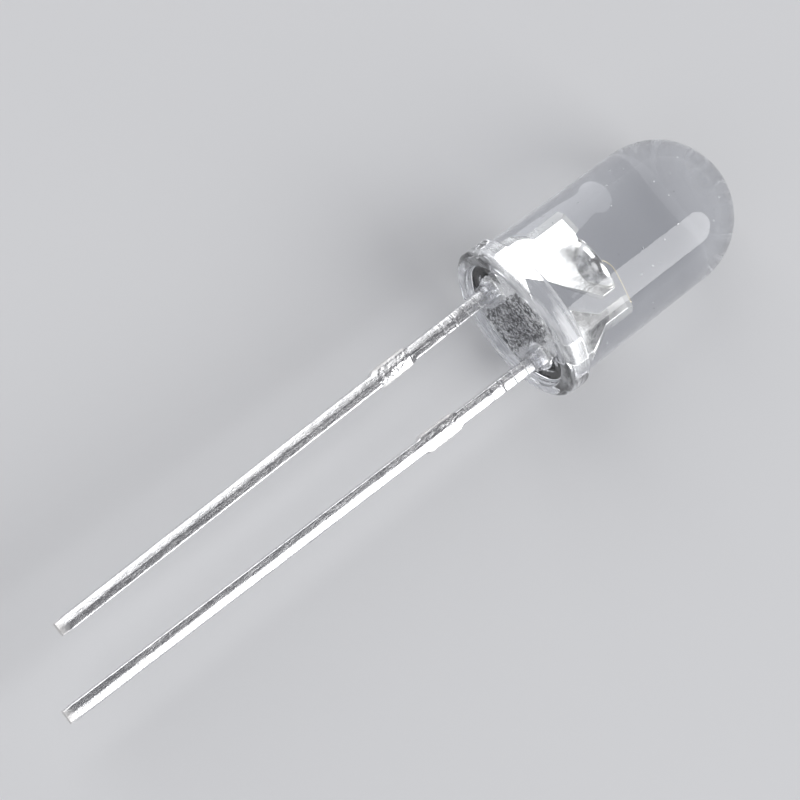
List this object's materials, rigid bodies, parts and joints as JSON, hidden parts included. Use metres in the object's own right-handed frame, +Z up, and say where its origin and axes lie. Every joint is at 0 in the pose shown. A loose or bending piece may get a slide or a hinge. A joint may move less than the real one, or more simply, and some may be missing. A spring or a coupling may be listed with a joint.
{
  "type": "through hole led",
  "caption": "Clear through-hole LED lying on its flange and dome: a domed epoxy lens with a flat-sided flange, cast around a cupped anvil, a post, a die and a bond wire.",
  "frame": {"origin": "centre of the lying part's outline, on the surface that it rests on", "axes": "+X along the part, from the lead tips towards the dome; +Z up; the cathode and the flange's flat are towards +Y; the lens axis falls by 2.5 degrees towards +X, because the part lies on its flange and its dome"},
  "size_m": [0.0264, 0.0054, 0.0055],
  "materials": {
    "clear_epoxy": "gloss",
    "tinned_steel": "satin",
    "die_crystal": "gloss",
    "silver_epoxy": "satin",
    "gold_wire": "polished"
  },
  "bodies": {
    "root": {"lens": "clear_epoxy", "cathode_lead": "tinned_steel", "anode_lead": "tinned_steel", "led_die": "die_crystal", "die_attach": "silver_epoxy", "bond_wire": "gold_wire"}
  },
  "joints": []
}
